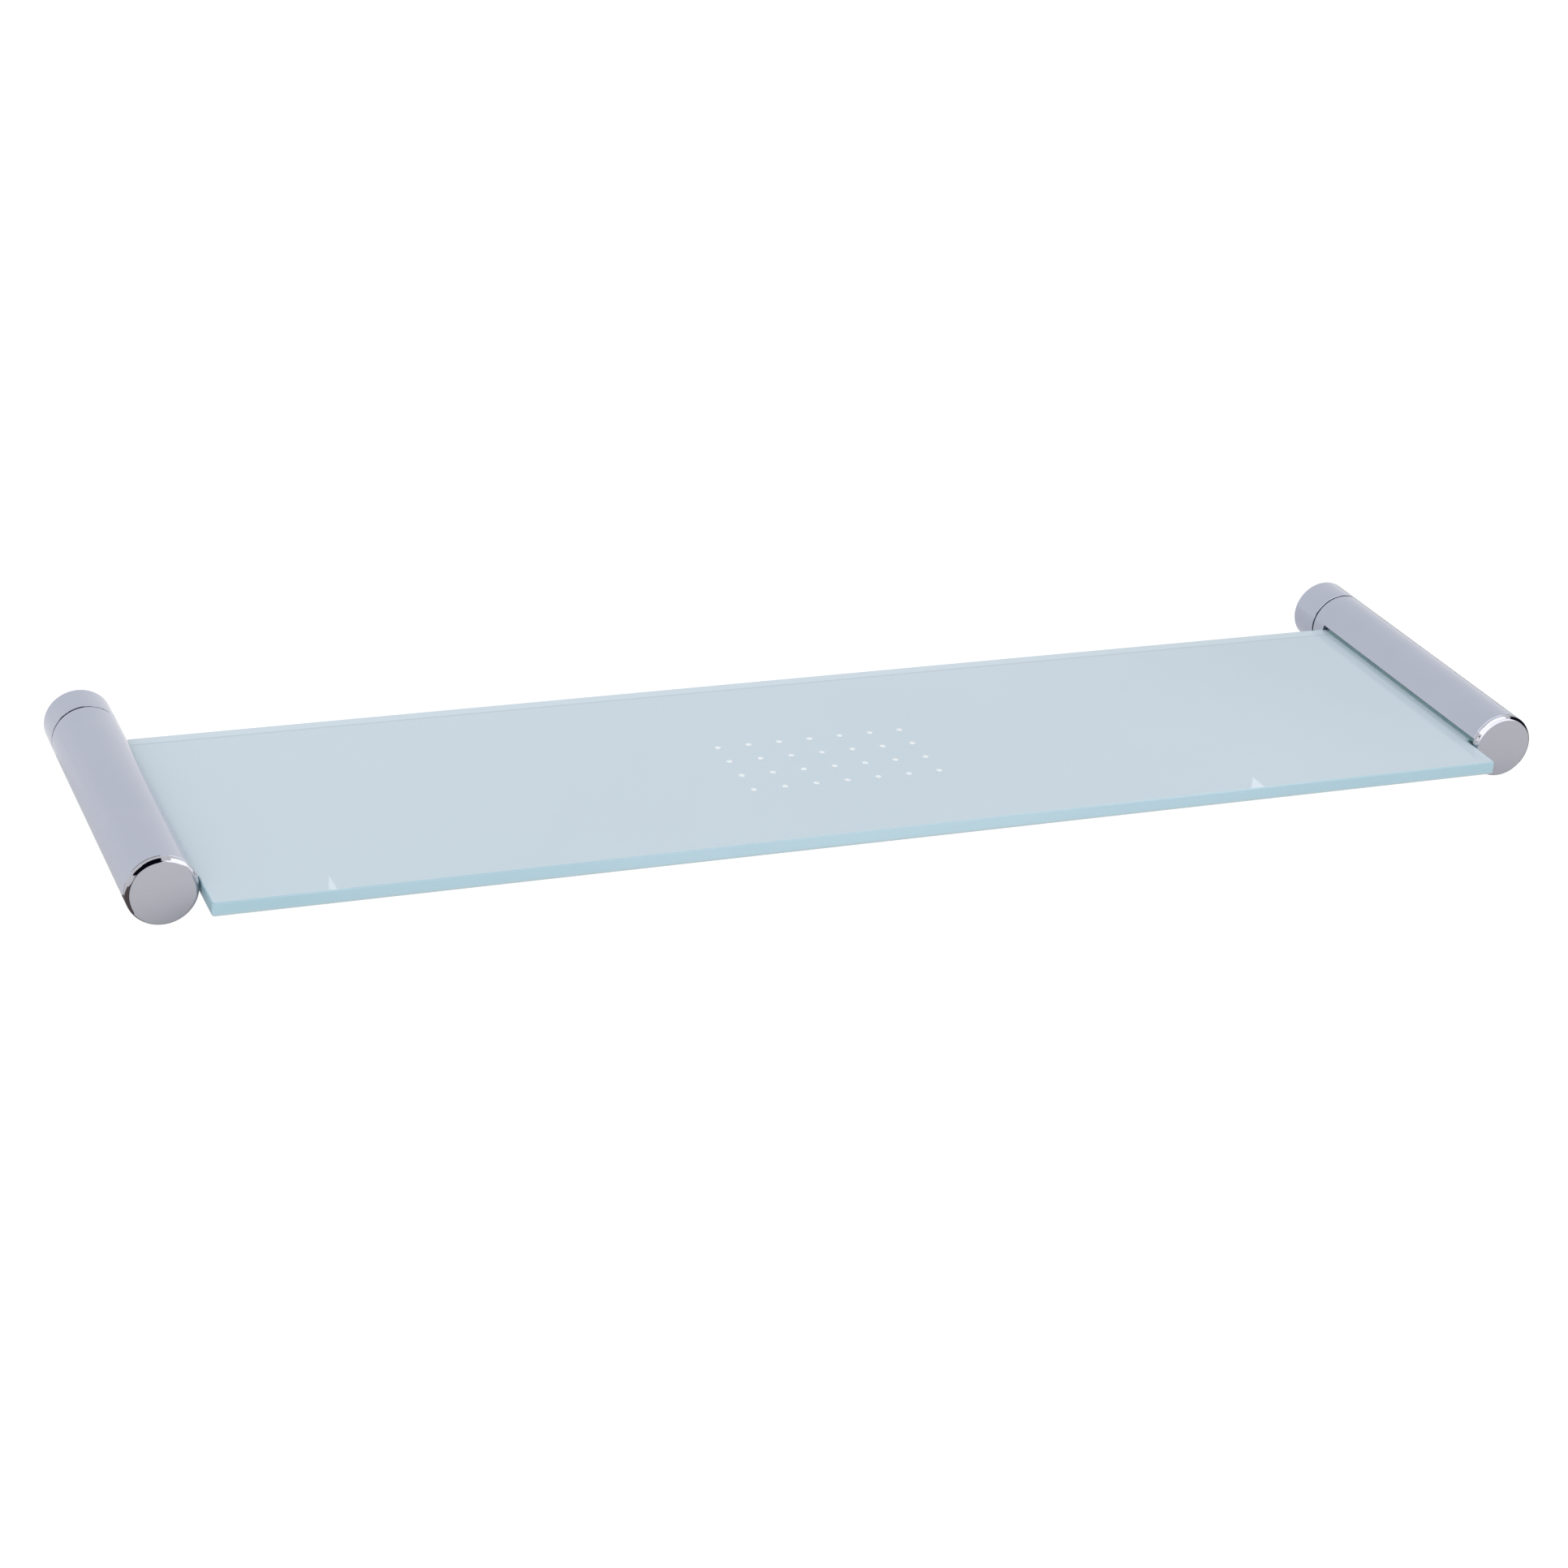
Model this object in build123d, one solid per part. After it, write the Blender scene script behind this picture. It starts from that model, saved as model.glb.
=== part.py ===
"""Frosted glass wall shelf held between two slotted round posts, every piece a solid of its own."""
import os

from build123d import *

# Driving dimensions in mm. The wall is the plane Y = 0 and +Y points into it, X runs along the
# wall, Z is up. The origin lies midway between the two wall screws, level with the post axes.
POST_DIA = 25.0
POST_SPACING = 520.0
COLLAR_LENGTH = 14.7
JOINT_GAP = 0.8
POST_LENGTH = 122.0
CAP_LENGTH = 2.7
EDGE_BREAK = 0.25

# Wall boss: a turned plug with a wide base inside the collar and a spigot inside the post.
BASE_DIA = 19.0
COLLAR_BORE_GAP = 0.1
SPIGOT_DIA = 12.0
SPIGOT_REACH = 20.0
SPIGOT_NOSE_CHAMFER = 0.8
SCREW_HOLE_DIA = 5.0
SCREW_HEAD_BORE_DIA = 8.6
SCREW_FLOOR = 4.2
GRIP_GROOVE_DEPTH = 0.5
GRIP_GROOVE_WIDTH = 3.0

# Washer that keeps the post off the collar.
WASHER_DIA = 23.4
WASHER_THICKNESS = 0.7
WASHER_BORE_GAP = 0.1

# Bores of the post.
SOCKET_GAP = 0.05
SOCKET_END_GAP = 0.5
CAP_BORE_DIA = 12.0
CAP_BORE_DEPTH = 8.0
CAP_SPIGOT_LENGTH = 6.0
CAP_SPIGOT_GAP = 0.05

# Rounded rim of the cap, a quarter ellipse.
RIM_RADIAL = 1.4
RIM_AXIAL = 2.1

# Set screw under each post.
SET_SCREW_DIA = 4.0
SET_SCREW_GAP = 0.05
SET_SCREW_RECESS = 0.6
SET_SCREW_TIP_GAP = 0.1
SET_SCREW_KEY = 2.0
SET_SCREW_KEY_DEPTH = 2.2
SET_SCREW_CHAMFER = 0.5
SET_SCREW_PLACE = 10.5

# Glass panel: narrow between the posts at the front, with a tongue in each post's slot.
GLASS_THICKNESS = 5.0
GLASS_TOP = 1.7
GLASS_FRONT_OVERHANG = 17.2
GLASS_WALL_DISTANCE = 23.1
GLASS_SIDE_GAP = 0.5
TONGUE_INSERTION = 4.5
TONGUE_SHOULDER = 3.0
GLASS_EDGE_CHAMFER = 0.5
GLASS_CORNER_RADIUS = 1.0
NOTCH_RADIUS = 1.5

# Slot in the post and the clear plastic channel that lines it.
SLOT_TOP = 3.5
SLOT_BOTTOM = -3.9
SLOT_END_GAP = 0.3
LINER_BACK = 0.6
LINER_MOUTH_RECESS = 0.9
LINER_REAR_SHORTFALL = 3.0
LINER_FRONT_GAP = 0.4
LINER_LIP_CHAMFER = 0.6

# Clear anti-slip dots on the glass.
DOT_COLUMNS = 7
DOT_ROWS = 4
DOT_PITCH = 12.2
DOT_RADIUS = 1.2
DOT_HEIGHT = 0.25
DOT_EDGE = 0.1
DOT_FIELD_X = -3.6
DOT_FIELD_SEAM_DISTANCE = 42.0

# How far a cutting shape runs past the surface that it opens.
CUT_PAST = 1.0

# Planes across the posts, measured from the wall.
post_radius = POST_DIA / 2
post_back = -(COLLAR_LENGTH + JOINT_GAP)
seam = post_back - POST_LENGTH
cap_face = seam - CAP_LENGTH
spigot_end = post_back - SPIGOT_REACH
set_screw_y = post_back - SET_SCREW_PLACE

# Planes across the glass.
glass_front = seam - GLASS_FRONT_OVERHANG
glass_back = -GLASS_WALL_DISTANCE
glass_bottom = GLASS_TOP - GLASS_THICKNESS
front_half_width = POST_SPACING / 2 - post_radius - GLASS_SIDE_GAP
tongue_reach = post_radius - TONGUE_INSERTION
tongue_half_width = POST_SPACING / 2 - tongue_reach
slot_floor = tongue_reach - LINER_BACK


def rod(radius, y_start, y_end):
    """A round solid along the Y axis between two planes."""
    length = abs(y_end - y_start)
    return Pos(0, (y_start + y_end) / 2, 0) * Rot(90, 0, 0) * Cylinder(radius, length)


def turned(outline):
    """A solid of revolution about the Y axis from (radius, y) points on one side of it."""
    return revolve(make_face(Polyline(*outline, close=True)), Axis.Y)


def block(x_range, y_range, z_range):
    """A box between two values on each axis."""
    size = [abs(high - low) for low, high in (x_range, y_range, z_range)]
    middle = [(high + low) / 2 for low, high in (x_range, y_range, z_range)]
    return Pos(*middle) * Box(*size)


def wall_boss():
    """Plug screwed to the wall: base, spigot, grip groove and a counterbored screw hole."""
    base = rod(BASE_DIA / 2, 0, -COLLAR_LENGTH)
    spigot = rod(SPIGOT_DIA / 2, -COLLAR_LENGTH, spigot_end)
    nose = spigot.edges().filter_by(GeomType.CIRCLE).sort_by(Axis.Y)[0]
    spigot = chamfer(nose, SPIGOT_NOSE_CHAMFER)
    outer = SPIGOT_DIA / 2
    root = outer - GRIP_GROOVE_DEPTH
    half = GRIP_GROOVE_WIDTH / 2
    groove = turned([
        (outer + CUT_PAST, set_screw_y - half - CUT_PAST),
        (outer + CUT_PAST, set_screw_y + half + CUT_PAST),
        (outer, set_screw_y + half),
        (root, set_screw_y + half - GRIP_GROOVE_DEPTH),
        (root, set_screw_y - half + GRIP_GROOVE_DEPTH),
        (outer, set_screw_y - half),
    ])
    head_bore = rod(SCREW_HEAD_BORE_DIA / 2, -SCREW_FLOOR, spigot_end)
    screw_hole = rod(SCREW_HOLE_DIA / 2, 0, -SCREW_FLOOR)
    return base + spigot - groove - head_bore - screw_hole


def wall_collar():
    """Ring that covers the boss, with a broken edge at each end."""
    ring = rod(post_radius, 0, -COLLAR_LENGTH)
    ring = chamfer(ring.edges().filter_by(GeomType.CIRCLE), EDGE_BREAK)
    return ring - rod(BASE_DIA / 2 + COLLAR_BORE_GAP, 0, -COLLAR_LENGTH)


def joint_washer():
    """Thin washer on the spigot, between collar and post."""
    disc = rod(WASHER_DIA / 2, -COLLAR_LENGTH, -COLLAR_LENGTH - WASHER_THICKNESS)
    return disc - rod(SPIGOT_DIA / 2 + WASHER_BORE_GAP, 0, post_back)


def post(inward):
    """Slotted post: inward is +1 where the slot opens towards +X, -1 where it opens towards -X."""
    body = rod(post_radius, post_back, seam)
    body = chamfer(body.edges().filter_by(GeomType.CIRCLE), EDGE_BREAK)
    body -= rod(SPIGOT_DIA / 2 + SOCKET_GAP, post_back, spigot_end - SOCKET_END_GAP)
    body -= rod(CAP_BORE_DIA / 2, seam, seam + CAP_BORE_DEPTH)
    slot_x = sorted([inward * slot_floor, inward * (post_radius + CUT_PAST)])
    body -= block(slot_x, (seam, glass_back + SLOT_END_GAP), (SLOT_BOTTOM, SLOT_TOP))
    tapped_hole = Cylinder(SET_SCREW_DIA / 2 + SET_SCREW_GAP, post_radius)
    return body - Pos(0, set_screw_y, -post_radius / 2) * tapped_hole


def set_screw():
    """Socket set screw in the underside of the post, just clear of the spigot."""
    top = -(SPIGOT_DIA / 2 + SET_SCREW_TIP_GAP)
    bottom = -(post_radius - SET_SCREW_RECESS)
    screw = Pos(0, set_screw_y, (top + bottom) / 2) * Cylinder(SET_SCREW_DIA / 2, top - bottom)
    screw = chamfer(screw.edges().filter_by(GeomType.CIRCLE), SET_SCREW_CHAMFER)
    key_radius = SET_SCREW_KEY / 3 ** 0.5
    socket = extrude(RegularPolygon(key_radius, 6), SET_SCREW_KEY_DEPTH)
    return screw - Pos(0, set_screw_y, bottom) * socket


def front_cap():
    """Cap on the post's front end: flat polished face, rounded rim and a plug behind it."""
    rim_start = cap_face + RIM_AXIAL
    face_radius = post_radius - RIM_RADIAL
    rim = EllipticalCenterArc((face_radius, rim_start), RIM_RADIAL, RIM_AXIAL, 270, arc_size=90)
    sides = Polyline(
        (post_radius, rim_start),
        (post_radius, seam - EDGE_BREAK),
        (post_radius - EDGE_BREAK, seam),
        (0, seam),
        (0, cap_face),
        (face_radius, cap_face),
    )
    head = revolve(make_face(rim + sides), Axis.Y)
    plug = rod(CAP_BORE_DIA / 2 - CAP_SPIGOT_GAP, seam, seam + CAP_SPIGOT_LENGTH)
    plug = chamfer(plug.edges().filter_by(GeomType.CIRCLE).sort_by(Axis.Y)[-1], EDGE_BREAK)
    return head + plug


def slot_liner(inward):
    """U-shaped plastic channel in the slot, open towards the glass."""
    mouth = post_radius - LINER_MOUTH_RECESS
    outline = Polyline(
        (inward * mouth, SLOT_BOTTOM),
        (inward * slot_floor, SLOT_BOTTOM),
        (inward * slot_floor, SLOT_TOP),
        (inward * (mouth - LINER_LIP_CHAMFER), SLOT_TOP),
        (inward * mouth, SLOT_TOP - LINER_LIP_CHAMFER),
        (inward * mouth, GLASS_TOP),
        (inward * tongue_reach, GLASS_TOP),
        (inward * tongue_reach, glass_bottom),
        (inward * mouth, glass_bottom),
        close=True,
    )
    front = seam + LINER_FRONT_GAP
    back = glass_back - LINER_REAR_SHORTFALL
    profile = Plane((0, back, 0), x_dir=(1, 0, 0), z_dir=(0, -1, 0)) * make_face(outline)
    return extrude(profile, back - front)


def glass_panel():
    """Panel with a narrower front between the posts and a tongue along each side."""
    shoulder = seam + TONGUE_SHOULDER
    front_part = block((-front_half_width, front_half_width), (glass_front, glass_back),
                       (glass_bottom, GLASS_TOP))
    tongues = block((-tongue_half_width, tongue_half_width), (shoulder, glass_back),
                    (glass_bottom, GLASS_TOP))
    panel = front_part + tongues
    upright = panel.edges().filter_by(Axis.Z)
    inside = upright.filter_by_position(Axis.Y, shoulder - 0.1, shoulder + 0.1)
    inside = inside.filter_by_position(Axis.X, -front_half_width - 0.1, front_half_width + 0.1)
    panel = fillet(inside, NOTCH_RADIUS)
    corners = [edge for edge in panel.edges().filter_by(Axis.Z)
               if abs(edge.center().Y - glass_front) < 0.1
               or abs(edge.center().X) > tongue_half_width - 0.1]
    panel = fillet(corners, GLASS_CORNER_RADIUS)
    faces = panel.faces().filter_by(Axis.Z)
    return chamfer(faces.edges(), GLASS_EDGE_CHAMFER)


def glass_dots():
    """Low round pads in a regular grid on the glass."""
    pad = Cylinder(DOT_RADIUS, DOT_HEIGHT, align=(Align.CENTER, Align.CENTER, Align.MIN))
    pad = chamfer(pad.edges().filter_by(GeomType.CIRCLE).sort_by(Axis.Z)[-1], DOT_EDGE)
    places = GridLocations(DOT_PITCH, DOT_PITCH, DOT_COLUMNS, DOT_ROWS)
    centre = Pos(DOT_FIELD_X, seam + DOT_FIELD_SEAM_DISTANCE, GLASS_TOP)
    return Compound([centre * place * pad for place in places])


def save(name, shape):
    """Write one node's solids to its STEP file."""
    export_step(shape, f"parts/{name}.step")
    print(name, len(shape.solids()), round(shape.volume, 1))


os.makedirs("parts", exist_ok=True)
save("glass_panel", glass_panel())
save("glass_dots", glass_dots())
for side, sign in (("left", -1), ("right", 1)):
    place = Pos(sign * POST_SPACING / 2, 0, 0)
    save(f"{side}_wall_boss", place * wall_boss())
    save(f"{side}_wall_collar", place * wall_collar())
    save(f"{side}_joint_washer", place * joint_washer())
    save(f"{side}_post", place * post(-sign))
    save(f"{side}_set_screw", place * set_screw())
    save(f"{side}_front_cap", place * front_cap())
    save(f"{side}_slot_liner", place * slot_liner(-sign))
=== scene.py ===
import math

import bmesh
import bpy
from mathutils import Matrix, Vector


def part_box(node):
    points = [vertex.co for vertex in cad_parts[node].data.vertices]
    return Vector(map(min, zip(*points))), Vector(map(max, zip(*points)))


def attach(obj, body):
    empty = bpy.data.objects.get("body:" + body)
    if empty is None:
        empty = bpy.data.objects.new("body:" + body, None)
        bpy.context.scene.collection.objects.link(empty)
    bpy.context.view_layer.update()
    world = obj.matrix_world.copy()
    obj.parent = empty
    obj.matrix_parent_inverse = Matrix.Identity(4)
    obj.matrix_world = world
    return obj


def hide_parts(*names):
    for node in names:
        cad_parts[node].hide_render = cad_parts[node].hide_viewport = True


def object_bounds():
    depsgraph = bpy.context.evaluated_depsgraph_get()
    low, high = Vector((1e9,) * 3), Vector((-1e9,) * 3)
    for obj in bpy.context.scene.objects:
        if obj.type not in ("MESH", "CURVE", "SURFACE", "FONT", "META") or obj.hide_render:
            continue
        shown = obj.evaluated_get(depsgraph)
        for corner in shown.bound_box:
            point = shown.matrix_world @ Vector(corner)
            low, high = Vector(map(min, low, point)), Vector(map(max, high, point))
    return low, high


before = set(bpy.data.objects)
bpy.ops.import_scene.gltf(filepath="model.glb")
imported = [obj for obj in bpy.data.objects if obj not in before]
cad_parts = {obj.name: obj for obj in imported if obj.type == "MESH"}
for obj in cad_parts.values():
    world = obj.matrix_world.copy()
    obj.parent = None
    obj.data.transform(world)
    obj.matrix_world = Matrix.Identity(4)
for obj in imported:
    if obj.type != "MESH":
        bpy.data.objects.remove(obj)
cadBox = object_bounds()
millimetre = 0.001
samePlane = 1e-6        # metres, for points on one plane
sameOutline = 1e-5      # metres, a little looser, for points on a rim or an outline
sharpFrom = 30          # degrees between faces, from where an edge stays sharp
reliefDepth = 0.2 * millimetre
colourA, colourB, colourOut = 6, 7, 2       # the colour sockets of a Mix node

bpy.ops.object.select_all(action="DESELECT")
print("frame loaded:", len(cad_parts), "nodes")

# Places of the joints between the parts, taken from the CAD nodes.
leftPostLow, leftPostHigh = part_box("left_post")
collarLow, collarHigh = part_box("left_wall_collar")
glassLow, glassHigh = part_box("glass_panel")
dotsLow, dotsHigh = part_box("glass_dots")
postRadius = (leftPostHigh.x - leftPostLow.x) / 2
axisX = (leftPostLow.x + leftPostHigh.x) / 2
postX = {"left": axisX, "right": -axisX}
seamY = leftPostLow.y
postBackY = leftPostHigh.y
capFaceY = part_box("left_front_cap")[0].y


# modelling helpers

def deselectAll():
    if bpy.context.object and bpy.context.object.mode != "OBJECT":
        bpy.ops.object.mode_set(mode="OBJECT")
    bpy.ops.object.select_all(action="DESELECT")


def justThis(piece):
    deselectAll()
    piece.select_set(True)
    bpy.context.view_layer.objects.active = piece


def startEdit(piece, kind):
    justThis(piece)
    bpy.ops.object.mode_set(mode="EDIT")
    bpy.ops.mesh.select_mode(type=kind)
    bpy.ops.mesh.select_all(action="DESELECT")


def pickFaces(piece, wanted):
    startEdit(piece, "FACE")
    shape = bmesh.from_edit_mesh(piece.data)
    for face in shape.faces:
        face.select_set(bool(wanted(face.calc_center_median(), face.normal)))
    bmesh.update_edit_mesh(piece.data)


def pickEdges(piece, wanted):
    startEdit(piece, "EDGE")
    shape = bmesh.from_edit_mesh(piece.data)
    for edge in shape.edges:
        a, b = edge.verts[0].co, edge.verts[1].co
        edge.select_set(bool(wanted(a, b)))
    bmesh.update_edit_mesh(piece.data)


def doneEdit():
    bpy.ops.object.mode_set(mode="OBJECT")


def settle(piece, name):
    justThis(piece)
    bpy.ops.object.transform_apply(location=True, rotation=True, scale=True)
    piece.name = name
    piece.data.name = name
    return piece


def rodAlongY(name, x, radius, lowY, highY, sides):
    deselectAll()
    bpy.ops.mesh.primitive_cylinder_add(
        vertices=sides, radius=radius, depth=highY - lowY,
        location=(x, (lowY + highY) / 2, 0), rotation=(math.pi / 2, 0, 0))
    return settle(bpy.context.object, name)


def blockBetween(name, low, high):
    deselectAll()
    size = [b - a for a, b in zip(low, high)]
    bpy.ops.mesh.primitive_cube_add(size=1, location=[(a + b) / 2 for a, b in zip(low, high)])
    bpy.context.object.scale = size
    return settle(bpy.context.object, name)


def cutAway(piece, cutter):
    justThis(piece)
    cut = piece.modifiers.new("cut", "BOOLEAN")
    cut.operation = "DIFFERENCE"
    cut.solver = "EXACT"
    cut.object = cutter
    bpy.ops.object.modifier_apply(modifier="cut")
    bpy.data.objects.remove(cutter)


def bevelRim(piece, y, x, radius, width, steps):
    # both points of an edge of the rim lie on its circle
    def onRim(a, b):
        return all(abs(p.y - y) < samePlane
                   and abs(math.hypot(p.x - x, p.z) - radius) < sameOutline for p in (a, b))
    pickEdges(piece, onRim)
    bpy.ops.mesh.bevel(offset=width, segments=steps, profile=0.5, affect="EDGES")
    doneEdit()


def softenEdges(piece, width, steps, angle):
    justThis(piece)
    soft = piece.modifiers.new("soft edges", "BEVEL")
    soft.width = width
    soft.segments = steps
    soft.limit_method = "ANGLE"
    soft.angle_limit = math.radians(angle)
    soft.use_clamp_overlap = True
    bpy.ops.object.modifier_apply(modifier="soft edges")


def smoothTurned(piece, angle=sharpFrom):
    # the large faces set the shading, so narrow bevels beside them don't tilt it
    justThis(piece)
    bpy.ops.object.shade_smooth_by_angle(angle=math.radians(angle))
    even = piece.modifiers.new("even shading", "WEIGHTED_NORMAL")
    even.mode = "FACE_AREA"
    even.weight = 100
    even.keep_sharp = True
    bpy.ops.object.modifier_apply(modifier="even shading")


def setMaterial(piece, *materials):
    piece.data.materials.clear()
    for material in materials:
        piece.data.materials.append(material)


# material helpers

def startMaterial(name):
    material = bpy.data.materials.new(name)
    material.use_nodes = True
    nodes = material.node_tree.nodes
    nodes.clear()
    output = nodes.new("ShaderNodeOutputMaterial")
    shader = nodes.new("ShaderNodeBsdfPrincipled")
    output.location, shader.location = (600, 0), (300, 0)
    material.node_tree.links.new(shader.outputs["BSDF"], output.inputs["Surface"])
    return material, nodes, material.node_tree.links, shader


def addGroup(name, inputs, outputs):
    group = bpy.data.node_groups.new(name, "ShaderNodeTree")
    for label, kind, value in inputs:
        socket = group.interface.new_socket(label, in_out="INPUT", socket_type=kind)
        if value is not None:
            socket.default_value = value
    for label, kind in outputs:
        group.interface.new_socket(label, in_out="OUTPUT", socket_type=kind)
    return group, group.nodes.new("NodeGroupInput"), group.nodes.new("NodeGroupOutput")


def handlingMarks():
    # faint wiping marks and a fine grain, for roughness, colour and bump
    group, enter, leave = addGroup(
        "handling marks",
        [("Vector", "NodeSocketVector", None), ("Smear Size", "NodeSocketFloat", 18.0),
         ("Grain Size", "NodeSocketFloat", 900.0), ("Smooth", "NodeSocketFloat", 0.03),
         ("Dull", "NodeSocketFloat", 0.08)],
        [("Roughness", "NodeSocketFloat"), ("Mask", "NodeSocketFloat"),
         ("Height", "NodeSocketFloat")])
    nodes, links = group.nodes, group.links
    smear = nodes.new("ShaderNodeTexNoise")
    smear.inputs["Detail"].default_value = 5.0
    smear.inputs["Distortion"].default_value = 0.6
    grain = nodes.new("ShaderNodeTexNoise")
    grain.inputs["Detail"].default_value = 3.0
    spread = nodes.new("ShaderNodeMapRange")
    spread.inputs["From Min"].default_value = 0.35
    spread.inputs["From Max"].default_value = 0.72
    mix = nodes.new("ShaderNodeMix")
    links.new(enter.outputs["Vector"], smear.inputs["Vector"])
    links.new(enter.outputs["Smear Size"], smear.inputs["Scale"])
    links.new(enter.outputs["Vector"], grain.inputs["Vector"])
    links.new(enter.outputs["Grain Size"], grain.inputs["Scale"])
    links.new(smear.outputs["Fac"], spread.inputs["Value"])
    links.new(spread.outputs["Result"], mix.inputs["Factor"])
    links.new(enter.outputs["Smooth"], mix.inputs["A"])
    links.new(enter.outputs["Dull"], mix.inputs["B"])
    links.new(mix.outputs["Result"], leave.inputs["Roughness"])
    links.new(spread.outputs["Result"], leave.inputs["Mask"])
    links.new(grain.outputs["Fac"], leave.inputs["Height"])
    return group


marksGroup = handlingMarks()


def addMarks(nodes, links, shader, vector, wear):
    # gives the marks' mask; the bump node is called relief
    marks = nodes.new("ShaderNodeGroup")
    marks.node_tree = marksGroup
    marks.inputs["Smear Size"].default_value = wear["smearSize"]
    marks.inputs["Grain Size"].default_value = wear["grainSize"]
    marks.inputs["Smooth"].default_value = wear["smooth"]
    marks.inputs["Dull"].default_value = wear["dull"]
    links.new(vector, marks.inputs["Vector"])
    links.new(marks.outputs["Roughness"], shader.inputs["Roughness"])
    relief = nodes.new("ShaderNodeBump")
    relief.name = "relief"
    relief.inputs["Strength"].default_value = wear["bump"]
    relief.inputs["Distance"].default_value = reliefDepth
    links.new(marks.outputs["Height"], relief.inputs["Height"])
    links.new(relief.outputs["Normal"], shader.inputs["Normal"])
    return marks.outputs["Mask"]


def twoTones(nodes, links, factor, first, second, target):
    mix = nodes.new("ShaderNodeMix")
    mix.data_type = "RGBA"
    mix.inputs[colourA].default_value = (*first, 1)
    mix.inputs[colourB].default_value = (*second, 1)
    links.new(factor, mix.inputs["Factor"])
    links.new(mix.outputs[colourOut], target)
    return mix.outputs[colourOut]


# chrome

chromeLook = {
    "postColour": (0.450, 0.475, 0.566),
    "postWiped": (0.431, 0.458, 0.549),
    "capColour": (0.474, 0.476, 0.520),
    "capWiped": (0.456, 0.458, 0.502),
    "postMarks": {"smearSize": 26.0, "grainSize": 1400.0, "smooth": 0.018, "dull": 0.045,
                  "bump": 0.012},
    "capMarks": {"smearSize": 60.0, "grainSize": 1600.0, "smooth": 0.018, "dull": 0.027,
                 "bump": 0.004},
    "ringPitch": 5200.0,
}


def chromeFinish(name, colour, wiped):
    material, nodes, links, shader = startMaterial(name)
    shader.inputs["Metallic"].default_value = 1.0
    place = nodes.new("ShaderNodeTexCoord")
    mask = addMarks(nodes, links, shader, place.outputs["Object"], chromeLook["postMarks"])
    twoTones(nodes, links, mask, colour, wiped, shader.inputs["Base Color"])
    return material


def turnedChrome(name, x, colour, wiped):
    # concentric tool marks about the post's axis
    material, nodes, links, shader = startMaterial(name)
    shader.inputs["Metallic"].default_value = 1.0
    place = nodes.new("ShaderNodeTexCoord")
    centre = nodes.new("ShaderNodeMapping")
    centre.inputs["Location"].default_value = (-x, 0, 0)
    links.new(place.outputs["Object"], centre.inputs["Vector"])
    mask = addMarks(nodes, links, shader, centre.outputs["Vector"], chromeLook["capMarks"])
    flat = nodes.new("ShaderNodeVectorMath")
    flat.operation = "MULTIPLY"
    flat.inputs[1].default_value = (1, 0, 1)
    distance = nodes.new("ShaderNodeVectorMath")
    distance.operation = "LENGTH"
    rings = nodes.new("ShaderNodeTexNoise")
    rings.noise_dimensions = "1D"
    rings.inputs["Scale"].default_value = chromeLook["ringPitch"]
    rings.inputs["Detail"].default_value = 2.0
    links.new(centre.outputs["Vector"], flat.inputs[0])
    links.new(flat.outputs["Vector"], distance.inputs[0])
    links.new(distance.outputs["Value"], rings.inputs["W"])
    links.new(rings.outputs["Fac"], nodes["relief"].inputs["Height"])
    twoTones(nodes, links, mask, colour, wiped, shader.inputs["Base Color"])
    return material


postChrome = chromeFinish("post chrome", chromeLook["postColour"], chromeLook["postWiped"])
capChrome = {side: turnedChrome(side + " cap chrome", postX[side], chromeLook["capColour"],
                                chromeLook["capWiped"]) for side in postX}
print("chrome ready")


# posts

postBuild = {
    "sides": 256,
    "endBevel": 0.25 * millimetre,
    "endSteps": 3,
    "slotFloorX": 7.4 * millimetre,
    "slotTop": 3.5 * millimetre,
    "slotBottom": -3.9 * millimetre,
    "slotBack": glassHigh.y + 0.3 * millimetre,
    "socketRadius": 6.05 * millimetre,
    "socketDepth": 20.5 * millimetre,
    "socketSides": 96,
    "screwHoleRadius": 2.05 * millimetre,
    "screwHoleSides": 64,
    "screwPlace": 10.5 * millimetre,
    "lipBevel": 0.12 * millimetre,
    "lipSteps": 2,
    "lipAngle": 50,
    "past": 1 * millimetre,      # how far the cutters stand out
}


def makePost(side):
    b = postBuild
    x = postX[side]
    inward = 1 if side == "left" else -1
    post = rodAlongY(side + "_post_tube", x, postRadius, seamY, postBackY, b["sides"])
    for y in (seamY, postBackY):
        bevelRim(post, y, x, postRadius, b["endBevel"], b["endSteps"])
    past = b["past"]
    near, far = x + inward * b["slotFloorX"], x + inward * (postRadius + past)
    cutAway(post, blockBetween("slot", (min(near, far), seamY - past, b["slotBottom"]),
                               (max(near, far), b["slotBack"], b["slotTop"])))
    cutAway(post, rodAlongY("socket", x, b["socketRadius"], postBackY - b["socketDepth"],
                            postBackY + past, b["socketSides"]))
    deselectAll()
    bpy.ops.mesh.primitive_cylinder_add(
        vertices=b["screwHoleSides"], radius=b["screwHoleRadius"], depth=postRadius,
        location=(x, postBackY - b["screwPlace"], -postRadius / 2))
    cutAway(post, settle(bpy.context.object, "screw hole"))
    softenEdges(post, b["lipBevel"], b["lipSteps"], b["lipAngle"])
    smoothTurned(post)
    setMaterial(post, postChrome)
    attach(post, "shelf")
    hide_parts(side + "_post")


# front caps

capBuild = {
    "sides": 256,
    "rimRadial": 1.4 * millimetre,
    "rimAxial": 2.1 * millimetre,
    "rimSteps": 14,
    "seamBevel": 0.25 * millimetre,
    "seamSteps": 3,
    "faceRings": (0.15 * millimetre, 0.6 * millimetre, 2.5 * millimetre),
}


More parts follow.
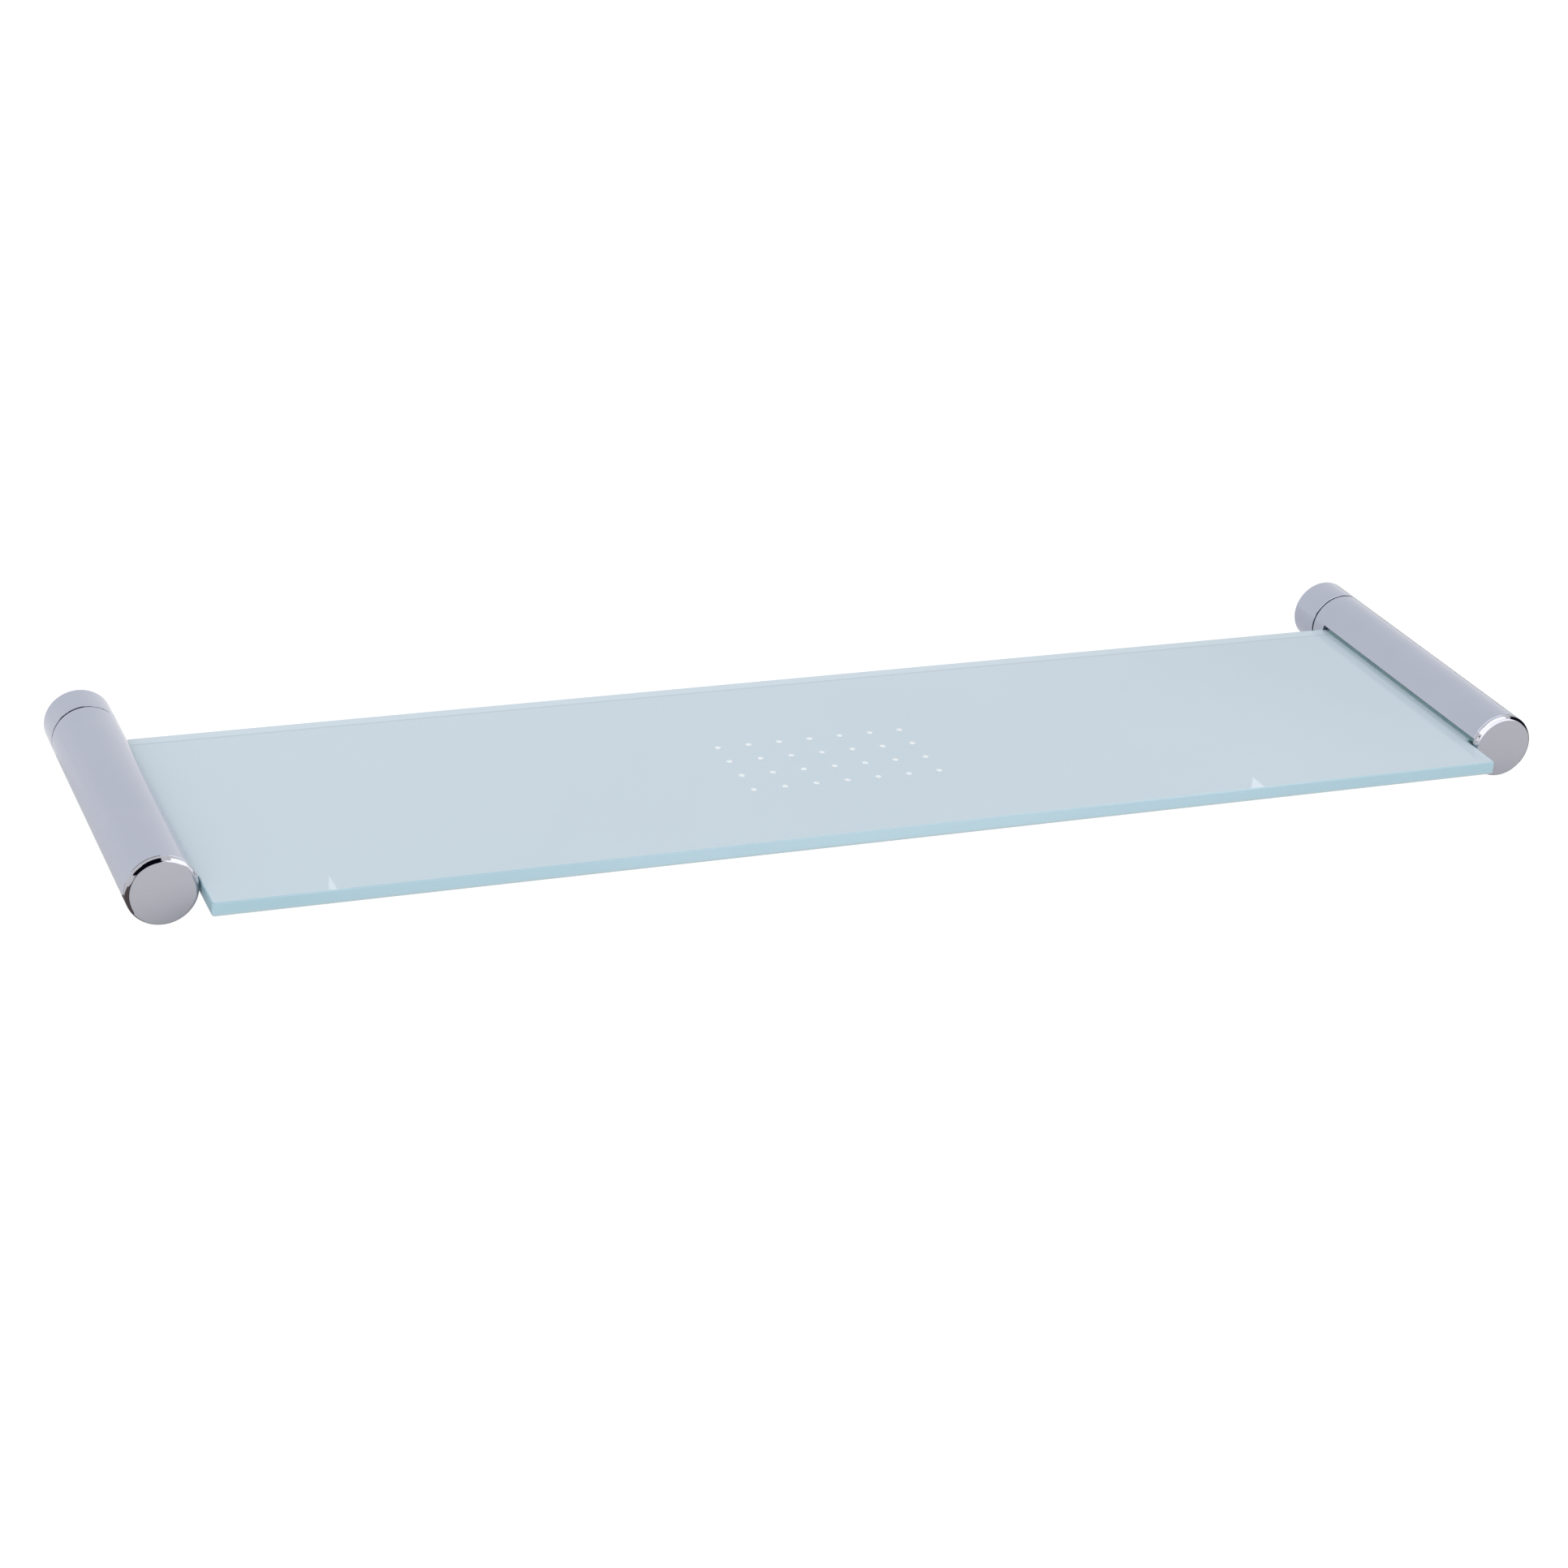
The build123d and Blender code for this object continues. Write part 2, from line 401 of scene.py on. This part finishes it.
def makeCap(side):
    b = capBuild
    x = postX[side]
    # the rim is beveled round, then stretched along the axis to a quarter ellipse
    stretch = b["rimAxial"] / b["rimRadial"]
    length = seamY - capFaceY
    startY = seamY - length / stretch
    cap = rodAlongY(side + "_cap_head", x, postRadius, startY, seamY, b["sides"])
    bevelRim(cap, startY, x, postRadius, b["rimRadial"], b["rimSteps"])
    justThis(cap)
    bpy.ops.object.mode_set(mode="EDIT")
    bpy.ops.mesh.select_all(action="SELECT")
    bpy.ops.transform.resize(value=(1, stretch, 1), center_override=(x, seamY, 0))
    doneEdit()
    bevelRim(cap, seamY, x, postRadius, b["seamBevel"], b["seamSteps"])
    # rings on the flat face keep its shading true
    pickFaces(cap, lambda centre, normal: abs(centre.y - capFaceY) < samePlane
              and normal.y < -0.99)
    for step in b["faceRings"]:
        bpy.ops.mesh.inset(thickness=step, depth=0)
    doneEdit()
    smoothTurned(cap)
    setMaterial(cap, capChrome[side])
    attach(cap, "shelf")
    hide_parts(side + "_front_cap")


# wall collars

collarBuild = {
    "sides": 256,
    "endBevel": 0.25 * millimetre,
    "endSteps": 3,
    "boreRadius": 9.6 * millimetre,
    "boreSides": 192,
}


def makeCollar(side):
    b = collarBuild
    x = postX[side]
    collar = rodAlongY(side + "_collar_ring", x, postRadius, collarLow.y, collarHigh.y,
                       b["sides"])
    for y in (collarLow.y, collarHigh.y):
        bevelRim(collar, y, x, postRadius, b["endBevel"], b["endSteps"])
    cutAway(collar, rodAlongY("collar bore", x, b["boreRadius"], collarLow.y - millimetre,
                              collarHigh.y + millimetre, b["boreSides"]))
    smoothTurned(collar)
    setMaterial(collar, postChrome)
    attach(collar, "wall_mounts")
    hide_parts(side + "_wall_collar")


for side in postX:
    makePost(side)
    makeCap(side)
    makeCollar(side)
print("posts, caps and collars ready")


# glass

glassBuild = {
    "shoulderY": seamY + 3.0 * millimetre,
    "frontHalfWidth": 247.0 * millimetre,
    "cornerRadius": 1.0 * millimetre,
    "cornerSteps": 8,
    "arris": 0.5 * millimetre,
    "arrisSteps": 3,
}
glassLook = {
    "face": (0.598, 0.716, 0.802),
    "faceCloud": (0.582, 0.700, 0.787),
    "paintedBackEdgePale": (0.640, 0.755, 0.840),     # painted highlight: the back edge as seen through the sheet
    "paintedBackEdgeLine": (0.525, 0.640, 0.725),
    "edgeEnd": (0.440, 0.645, 0.738),
    "edgeMiddle": (0.530, 0.726, 0.815),
    "edgeFoot": (0.520, 0.640, 0.665),
    # where the painted pale strip and the painted darker stripe start, in from the back edge
    "paintedPaleFrom": 4.3 * millimetre,
    "paintedLineFrom": 5.4 * millimetre,
    "blur": 0.5 * millimetre,
    "ior": 1.5,
    "coatRoughness": 0.015,
    "faceTransmission": 0.12,
    "edgeTransmission": 0.08,
    "middleTo": 0.05,       # metres from the middle of the shelf
    "endFrom": 0.26,
    "edgeWave": 0.06,
    "footFrom": 1.2 * millimetre,       # above the underside
    "footTo": 0.3 * millimetre,
    "faceMarks": {"smearSize": 7.0, "grainSize": 700.0, "smooth": 0.45, "dull": 0.58,
                  "bump": 0.006},
    "edgeMarks": {"smearSize": 22.0, "grainSize": 1100.0, "smooth": 0.16, "dull": 0.26,
                  "bump": 0.015},
}


def stepUp(nodes, links, value, low, high):
    # 0 below low, 1 above high
    ramp = nodes.new("ShaderNodeMapRange")
    ramp.inputs["From Min"].default_value = low
    ramp.inputs["From Max"].default_value = high
    links.new(value, ramp.inputs["Value"])
    return ramp.outputs["Result"]


def blendInto(nodes, links, factor, below, colour):
    mix = nodes.new("ShaderNodeMix")
    mix.data_type = "RGBA"
    mix.inputs[colourB].default_value = (*colour, 1)
    links.new(factor, mix.inputs["Factor"])
    links.new(below, mix.inputs[colourA])
    return mix.outputs[colourOut]


def glassFace():
    # a glossy top over a pale body, with a painted view of the back edge through the sheet: a pale
    # strip and a thin darker stripe
    look = glassLook
    material, nodes, links, shader = startMaterial("glass face")
    shader.inputs["IOR"].default_value = look["ior"]
    shader.inputs["Transmission Weight"].default_value = look["faceTransmission"]
    shader.inputs["Coat Weight"].default_value = 1.0
    shader.inputs["Coat Roughness"].default_value = look["coatRoughness"]
    shader.inputs["Specular IOR Level"].default_value = 0.0
    place = nodes.new("ShaderNodeTexCoord")
    mask = addMarks(nodes, links, shader, place.outputs["Object"], look["faceMarks"])
    cloud = twoTones(nodes, links, mask, look["face"], look["faceCloud"],
                     shader.inputs["Base Color"])
    parts = nodes.new("ShaderNodeSeparateXYZ")
    links.new(place.outputs["Object"], parts.inputs["Vector"])
    # painted view of the back edge through the glass: where the painted pale strip and the painted
    # darker stripe begin
    paintedLineY, paintedPaleY = glassHigh.y - look["paintedLineFrom"], glassHigh.y - look["paintedPaleFrom"]
    line = stepUp(nodes, links, parts.outputs["Y"], paintedLineY - look["blur"], paintedLineY)
    glow = stepUp(nodes, links, parts.outputs["Y"], paintedPaleY - look["blur"], paintedPaleY)
    colour = blendInto(nodes, links, line, cloud, look["paintedBackEdgeLine"])
    colour = blendInto(nodes, links, glow, colour, look["paintedBackEdgePale"])
    links.new(colour, shader.inputs["Base Color"])
    return material


def glassEdge():
    # the blue-green of a thick edge: paler in the middle of its length, greyer along its foot
    look = glassLook
    material, nodes, links, shader = startMaterial("glass edge")
    shader.inputs["IOR"].default_value = look["ior"]
    shader.inputs["Transmission Weight"].default_value = look["edgeTransmission"]
    place = nodes.new("ShaderNodeTexCoord")
    mask = addMarks(nodes, links, shader, place.outputs["Object"], look["edgeMarks"])
    parts = nodes.new("ShaderNodeSeparateXYZ")
    links.new(place.outputs["Object"], parts.inputs["Vector"])
    away = nodes.new("ShaderNodeMath")
    away.operation = "ABSOLUTE"
    links.new(parts.outputs["X"], away.inputs[0])
    wavy = nodes.new("ShaderNodeMath")
    wavy.operation = "MULTIPLY_ADD"
    wavy.inputs[1].default_value = look["edgeWave"]
    links.new(mask, wavy.inputs[0])
    links.new(away.outputs["Value"], wavy.inputs[2])
    towardsEnd = stepUp(nodes, links, wavy.outputs["Value"], look["middleTo"], look["endFrom"])
    lengthwise = twoTones(nodes, links, towardsEnd, look["edgeMiddle"], look["edgeEnd"],
                          shader.inputs["Base Color"])
    drop = nodes.new("ShaderNodeMath")
    drop.operation = "MULTIPLY"
    drop.inputs[1].default_value = -1.0
    links.new(parts.outputs["Z"], drop.inputs[0])
    foot = stepUp(nodes, links, drop.outputs["Value"], -glassLow.z - look["footFrom"],
                  -glassLow.z - look["footTo"])
    links.new(blendInto(nodes, links, foot, lengthwise, look["edgeFoot"]),
              shader.inputs["Base Color"])
    return material


def makeGlass():
    b = glassBuild
    half = b["frontHalfWidth"]
    glass = blockBetween("glass_sheet", (-half, glassLow.y, glassLow.z),
                         (half, glassHigh.y, glassHigh.z))
    # split at the shoulders, then draw the tongues out sideways
    startEdit(glass, "FACE")
    bpy.ops.mesh.select_all(action="SELECT")
    bpy.ops.mesh.bisect(plane_co=(0, b["shoulderY"], 0), plane_no=(0, 1, 0))
    doneEdit()
    for sign in (-1, 1):
        pickFaces(glass, lambda centre, normal: normal.x * sign > 0.9
                  and centre.y > b["shoulderY"])
        bpy.ops.mesh.extrude_region_move(
            TRANSFORM_OT_translate={"value": (sign * (glassHigh.x - half), 0, 0)})
        doneEdit()
    corner = b["cornerRadius"]
    pickEdges(glass, lambda p, q: abs(p.x - q.x) < samePlane and abs(p.y - q.y) < samePlane
              and (p.y < glassLow.y + sameOutline or abs(p.x) > glassHigh.x - sameOutline))
    bpy.ops.mesh.bevel(offset=corner, segments=b["cornerSteps"], profile=0.5, affect="EDGES")
    doneEdit()
    # the arris runs round the top and the bottom
    def onOutline(p, q):
        level = abs(p.z - q.z) < samePlane
        outside = (max(abs(p.x), abs(q.x)) > half - sameOutline
                   or min(p.y, q.y) < glassLow.y + corner + sameOutline
                   or max(p.y, q.y) > glassHigh.y - sameOutline)
        # not the cut across the sheet at the shoulders
        across = abs(p.x + q.x) < sameOutline and abs(p.x) > half - sameOutline
        return level and outside and not across
    startEdit(glass, "EDGE")
    shape = bmesh.from_edit_mesh(glass.data)
    for edge in shape.edges:
        slopes = [abs(face.normal.z) for face in edge.link_faces]
        p, q = edge.verts[0].co, edge.verts[1].co
        corners = len(slopes) == 2 and max(slopes) > 0.99 and min(slopes) < 0.1
        edge.select_set(corners and onOutline(p, q))
    bmesh.update_edit_mesh(glass.data)
    bpy.ops.mesh.bevel(offset=b["arris"], segments=b["arrisSteps"], profile=0.5, affect="EDGES")
    doneEdit()
    smoothTurned(glass)
    setMaterial(glass, glassFace(), glassEdge())
    for face in glass.data.polygons:
        face.material_index = 0 if abs(face.normal.z) > 0.98 else 1
    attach(glass, "shelf")
    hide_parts("glass_panel")


makeGlass()
print("glass ready")


# anti-slip dots

dotBuild = {
    "columns": 7,
    "rows": 4,
    "radius": 1.2 * millimetre,
    "sides": 40,
    "crown": 0.95,      # share of the height that is rounded
    "crownSteps": 5,
    "sharpFrom": 60,
}
dotLook = {
    "colour": (0.800, 0.850, 0.890),
    "clear": (0.840, 0.880, 0.920),
    "softness": 0.2,
    "softDepth": 0.6 * millimetre,
    "marks": {"smearSize": 300.0, "grainSize": 2400.0, "smooth": 0.18, "dull": 0.32,
              "bump": 0.05},
}


def dotRubber():
    material, nodes, links, shader = startMaterial("dot silicone")
    shader.inputs["Subsurface Weight"].default_value = dotLook["softness"]
    shader.inputs["Subsurface Scale"].default_value = dotLook["softDepth"]
    place = nodes.new("ShaderNodeTexCoord")
    mask = addMarks(nodes, links, shader, place.outputs["Object"], dotLook["marks"])
    twoTones(nodes, links, mask, dotLook["colour"], dotLook["clear"], shader.inputs["Base Color"])
    return material


def makeDots():
    b = dotBuild
    low, high = dotsLow, dotsHigh
    height = high.z - low.z
    firstX, firstY = low.x + b["radius"], low.y + b["radius"]
    pitchX = (high.x - low.x - 2 * b["radius"]) / (b["columns"] - 1)
    pitchY = (high.y - low.y - 2 * b["radius"]) / (b["rows"] - 1)
    deselectAll()
    bpy.ops.mesh.primitive_cylinder_add(vertices=b["sides"], radius=b["radius"], depth=height,
                                        location=(firstX, firstY, low.z + height / 2))
    dot = settle(bpy.context.object, "grip_dots")
    # a low crown: the top edge is rounded right down to the glass
    pickEdges(dot, lambda p, q: min(p.z, q.z) > high.z - samePlane)
    bpy.ops.mesh.bevel(offset=height * b["crown"], segments=b["crownSteps"], profile=0.5,
                       affect="EDGES")
    doneEdit()
    smoothTurned(dot, b["sharpFrom"])
    copies = [dot]
    for column in range(b["columns"]):
        for row in range(b["rows"]):
            if column == 0 and row == 0:
                continue
            twin = dot.copy()
            twin.data = dot.data.copy()
            twin.data.transform(Matrix.Translation((column * pitchX, row * pitchY, 0)))
            bpy.context.collection.objects.link(twin)
            copies.append(twin)
    deselectAll()
    for twin in copies:
        twin.select_set(True)
    bpy.context.view_layer.objects.active = dot
    bpy.ops.object.join()
    setMaterial(dot, dotRubber())
    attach(dot, "shelf")
    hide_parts("glass_dots")


makeDots()
print("dots ready")


# finishes of the CAD nodes that stay

innerLook = {
    "boss": {"colour": (0.55, 0.55, 0.54), "worn": (0.48, 0.475, 0.46), "metal": 1.0,
             "marks": {"smearSize": 80.0, "grainSize": 1800.0, "smooth": 0.24, "dull": 0.42,
                       "bump": 0.15}},
    "screw": {"colour": (0.42, 0.42, 0.43), "worn": (0.34, 0.34, 0.35), "metal": 1.0,
              "marks": {"smearSize": 200.0, "grainSize": 2600.0, "smooth": 0.3, "dull": 0.45,
                        "bump": 0.12}},
    "washer": {"colour": (0.035, 0.035, 0.038), "worn": (0.06, 0.06, 0.064), "metal": 0.0,
               "marks": {"smearSize": 90.0, "grainSize": 2200.0, "smooth": 0.45, "dull": 0.62,
                         "bump": 0.2}},
    # the slot liner is clear plastic; its dark teal is painted shade of the slot and the painted
    # green of the glass edges seen in it
    "liner": {"colour": (0.16, 0.27, 0.28), "worn": (0.20, 0.32, 0.33), "metal": 0.0,
              "marks": {"smearSize": 60.0, "grainSize": 1500.0, "smooth": 0.25, "dull": 0.4,
                        "bump": 0.1}},
}


def innerFinish(name, look):
    material, nodes, links, shader = startMaterial(name)
    shader.inputs["Metallic"].default_value = look["metal"]
    place = nodes.new("ShaderNodeTexCoord")
    mask = addMarks(nodes, links, shader, place.outputs["Object"], look["marks"])
    twoTones(nodes, links, mask, look["colour"], look["worn"], shader.inputs["Base Color"])
    return material


bossSteel = innerFinish("turned steel", innerLook["boss"])
screwSteel = innerFinish("screw steel", innerLook["screw"])
washerNylon = innerFinish("washer nylon", innerLook["washer"])
linerPaintedShade = innerFinish("liner plastic painted shade", innerLook["liner"])
for side in postX:
    setMaterial(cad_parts[side + "_wall_boss"], bossSteel)
    setMaterial(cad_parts[side + "_set_screw"], screwSteel)
    setMaterial(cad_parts[side + "_joint_washer"], washerNylon)
    # the liner gets the painted slot shade
    setMaterial(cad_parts[side + "_slot_liner"], linerPaintedShade)
print("inner finishes ready")


# studio: pale floor, soft light all round, and cards that show only in reflections
studio = {
    "floorColour": (0.86, 0.86, 0.87),
    "floorShade": (0.84, 0.84, 0.85),
    "floorGlow": 0.13,
    "floorKeptWhite": 0.88,      # how far the floor is washed out, as on a lit table
    "floorWash": 1.1,
    "floorSize": 6.0,
    "floorGap": 0.2 * millimetre,
    "floorMarks": {"smearSize": 3.0, "grainSize": 300.0, "smooth": 0.8, "dull": 0.9,
                   "bump": 0.02},
    "cardLift": 0.1 * millimetre,
    "roomLight": 1.0,
}
# small cards close to a cap: place from the middle of its seam, facing direction,
# width and height in metres, light and tone
cards = {
    # the dark side of the room, in front of the left cap, beside it and over it
    "left_front_dark": {"cap": "left", "place": (-0.045, -0.155, 0.101), "faces": (0.25, 1, -0.35),
                        "size": (0.165, 0.215), "light": 1.0, "tone": (0.004, 0.004, 0.010)},
    "left_side_dark": {"cap": "left", "place": (-0.135, -0.059, 0.1475), "faces": (1, 0, 0),
                       "size": (0.2125, 0.18), "light": 1.0, "tone": (0.006, 0.005, 0.010)},
    "left_top_dark": {"cap": "left", "place": (-0.046, -0.025, 0.1375), "faces": (0, 0, -1),
                      "size": (0.1275, 0.18), "light": 1.0, "tone": (0.004, 0.004, 0.010)},
    # softboxes towards the middle of the shelf
    "left_side_softbox": {"cap": "left", "place": (0.07, -0.023, 0.0775), "faces": (-1, 0, 0),
                          "size": (0.141, 0.095), "light": 2.1, "tone": (0.97, 0.98, 1.0)},
    "left_front_softbox": {"cap": "left", "place": (0.0775, -0.155, 0.075), "faces": (0, 1, -0.2),
                           "size": (0.065, 0.15), "light": 2.1, "tone": (0.97, 0.98, 1.0)},
    "right_front_softbox": {"cap": "right", "place": (-0.009, -0.099, 0.06), "faces": (0, 1, -0.2),
                            "size": (0.222, 0.126), "light": 2.1, "tone": (0.97, 0.98, 1.0)},
    "right_side_softbox": {"cap": "right", "place": (-0.072, -0.028, 0.093), "faces": (1, 0, 0),
                           "size": (0.17, 0.114), "light": 2.1, "tone": (0.97, 0.98, 1.0)},
    "right_top_softbox": {"cap": "right", "place": (-0.018, 0.015, 0.165), "faces": (0, 0, -1),
                          "size": (0.216, 0.198), "light": 2.1, "tone": (0.97, 0.98, 1.0)},
    # the table beside the white sheet, its brown darkened as painted shade, a painted contact
    # shadow under the left cap, and the dark end of the room on the right
    "left_table_in_painted_shade": {"cap": "left", "place": (-0.086, -0.0445, None), "faces": (0, 0, 1),
                   "size": (0.1475, 0.132), "light": 1.0, "tone": (0.150, 0.122, 0.120)},
    # painted contact shadow on the floor under the left cap, seen in the chrome
    "left_cap_painted_shadow": {"cap": "left", "place": (-0.003, 0.0102, None), "faces": (0, 0, 1),
                  "size": (0.019, 0.0225), "light": 1.0, "tone": (0.150, 0.122, 0.120)},
    "right_table": {"cap": "right", "place": (0.078, 0.015, None), "faces": (0, 0, 1),
                    "size": (0.124, 0.039), "light": 1.0, "tone": (0.010, 0.010, 0.020)},
    "right_side_dark": {"cap": "right", "place": (0.11, -0.0055, 0.0535), "faces": (-1, 0, 0),
                        "size": (0.17, 0.133), "light": 1.0, "tone": (0.010, 0.010, 0.020)},
}
# a low screen that keeps some of the soft light off the right end
lightScreen = {"cap": "right", "place": (0.14, 0.24, 0.0785), "faces": (-1, 0, 0),
               "size": (0.46, 0.183), "light": 1.0, "tone": (0.02, 0.02, 0.02)}


def makeFloor():
    deselectAll()
    bpy.ops.mesh.primitive_plane_add(size=studio["floorSize"],
                                     location=(0, 0, cadBox[0].z - studio["floorGap"]))
    floor = bpy.context.object
    floor.name = "studio_floor"
    material, nodes, links, shader = startMaterial("studio floor")
    shader.inputs["Emission Strength"].default_value = studio["floorGlow"]
    shader.inputs["Emission Color"].default_value = (1, 1, 1, 1)
    shader.inputs["Specular IOR Level"].default_value = 0.0
    place = nodes.new("ShaderNodeTexCoord")
    mask = addMarks(nodes, links, shader, place.outputs["Object"], studio["floorMarks"])
    twoTones(nodes, links, mask, studio["floorColour"], studio["floorShade"],
             shader.inputs["Base Color"])
    ray = nodes.new("ShaderNodeLightPath")
    share = nodes.new("ShaderNodeMath")
    share.operation = "MULTIPLY"
    share.inputs[1].default_value = studio["floorKeptWhite"]
    washed = nodes.new("ShaderNodeEmission")
    washed.inputs["Strength"].default_value = studio["floorWash"]
    both = nodes.new("ShaderNodeMixShader")
    output = next(node for node in nodes if node.type == "OUTPUT_MATERIAL")
    links.new(ray.outputs["Is Camera Ray"], share.inputs[0])
    links.new(share.outputs["Value"], both.inputs["Fac"])
    links.new(shader.outputs["BSDF"], both.inputs[1])
    links.new(washed.outputs["Emission"], both.inputs[2])
    # nothing is seen of it from below, so the underside can be looked at
    side = nodes.new("ShaderNodeNewGeometry")
    clear = nodes.new("ShaderNodeBsdfTransparent")
    oneSided = nodes.new("ShaderNodeMixShader")
    links.new(side.outputs["Backfacing"], oneSided.inputs["Fac"])
    links.new(both.outputs["Shader"], oneSided.inputs[1])
    links.new(clear.outputs["BSDF"], oneSided.inputs[2])
    links.new(oneSided.outputs["Shader"], output.inputs["Surface"])
    setMaterial(floor, material)


def addCard(name, look, inReflections=True):
    right, ahead, up = look["place"]
    height = cadBox[0].z + studio["cardLift"] if up is None else up      # None lies on the floor
    centre = (postX[look["cap"]] + right, seamY + ahead, height)
    deselectAll()
    bpy.ops.mesh.primitive_plane_add(size=1, location=centre)
    card = bpy.context.object
    card.name = name
    card.rotation_mode = "QUATERNION"
    card.rotation_quaternion = Vector(look["faces"]).to_track_quat("Z", "Y")
    card.scale = (look["size"][0], look["size"][1], 1)      # width, then height
    material = bpy.data.materials.new(name)
    material.use_nodes = True
    nodes = material.node_tree.nodes
    nodes.clear()
    output = nodes.new("ShaderNodeOutputMaterial")
    glow = nodes.new("ShaderNodeEmission")
    glow.inputs["Color"].default_value = (*look["tone"], 1)
    glow.inputs["Strength"].default_value = look["light"]
    material.node_tree.links.new(glow.outputs["Emission"], output.inputs["Surface"])
    setMaterial(card, material)
    card.visible_camera = False
    card.visible_transmission = False
    card.visible_glossy = inReflections
    card.visible_diffuse = card.visible_shadow = not inReflections


def makeRoom():
    world = bpy.data.worlds.new("soft room")
    bpy.context.scene.world = world
    world.use_nodes = True
    back = world.node_tree.nodes["Background"]
    back.inputs["Color"].default_value = (1, 1, 1, 1)
    back.inputs["Strength"].default_value = studio["roomLight"]
    for name, look in cards.items():
        addCard(name, look)
    addCard("light_screen", lightScreen, inReflections=False)


makeFloor()
makeRoom()
bpy.context.scene.view_settings.view_transform = "Standard"
print("studio ready")


# camera

cameraPlace = {
    "place": (-0.48016, -1.13841, 0.52670),
    "turn": 23.7843,
    "tilt": 25.0733,
    "roll": -4.642,
    "lens": 78.757,
    "sensor": 36,
    "near": 0.05,
    "far": 50,
}


def makeCamera():
    turn, tilt, roll = (math.radians(cameraPlace[key]) for key in ("turn", "tilt", "roll"))
    ahead = Vector((math.sin(turn) * math.cos(tilt), math.cos(turn) * math.cos(tilt),
                    -math.sin(tilt)))
    right = Vector((math.cos(turn), -math.sin(turn), 0))
    down = ahead.cross(right)
    across = math.cos(roll) * right + math.sin(roll) * down
    below = -math.sin(roll) * right + math.cos(roll) * down
    data = bpy.data.cameras.new("camera")
    data.sensor_width = cameraPlace["sensor"]
    data.lens = cameraPlace["lens"]
    data.clip_start = cameraPlace["near"]
    data.clip_end = cameraPlace["far"]
    camera = bpy.data.objects.new("camera", data)
    bpy.context.collection.objects.link(camera)
    turned = Matrix((across, -below, -ahead)).transposed().to_4x4()
    camera.matrix_world = Matrix.Translation(cameraPlace["place"]) @ turned
    bpy.context.scene.camera = camera


makeCamera()
print("camera ready")
